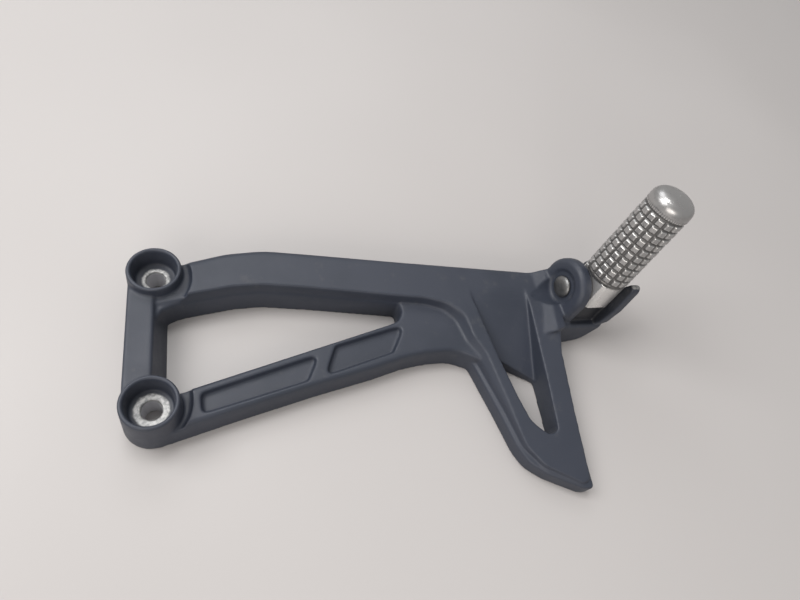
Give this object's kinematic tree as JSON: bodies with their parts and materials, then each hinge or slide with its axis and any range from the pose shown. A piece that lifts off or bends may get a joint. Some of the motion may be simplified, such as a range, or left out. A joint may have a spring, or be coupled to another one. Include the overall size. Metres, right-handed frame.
{
  "type": "motorcycle foot peg",
  "caption": "Folding passenger foot peg with a toothed barrel, pinned in the clevis of a cast hanger bracket that bolts to the frame.",
  "frame": {"origin": "middle of the assembly's footprint (bounding box) on the flat mounting face of the bracket", "axes": "+X along the bracket from the mounting bosses to the clevis, +Y from the lower boss to the upper boss, +Z away from the mounting face, the way the open peg points"},
  "size_m": [0.2808, 0.147, 0.1065],
  "materials": {
    "black_casting": "cast aluminium with a satin black powder coat",
    "peg_aluminium": "bare cast and machined, satin",
    "pin_steel": "satin zinc plate",
    "washer_zinc": "zinc plate",
    "clip_steel": "plain spring steel",
    "plate_steel": "plain spring steel",
    "ball_steel": "polished ball",
    "spring_steel": "plain spring wire"
  },
  "bodies": {
    "hanger": {"hanger_casting": "black_casting", "clevis_pin": "pin_steel", "pin_washer": "washer_zinc", "retaining_clip": "clip_steel", "detent_plate": "plate_steel"},
    "peg": {"peg_body": "peg_aluminium", "detent_ball": "ball_steel", "detent_spring": "spring_steel"}
  },
  "joints": [
    {"name": "peg_fold", "type": "hinge", "parent": "hanger", "child": "peg", "pos_m": [0.11584, 0.04016, 0.02714], "axis": [-0.98, -0.0879, 0.1785], "range_deg": [0, 86]}
  ]
}
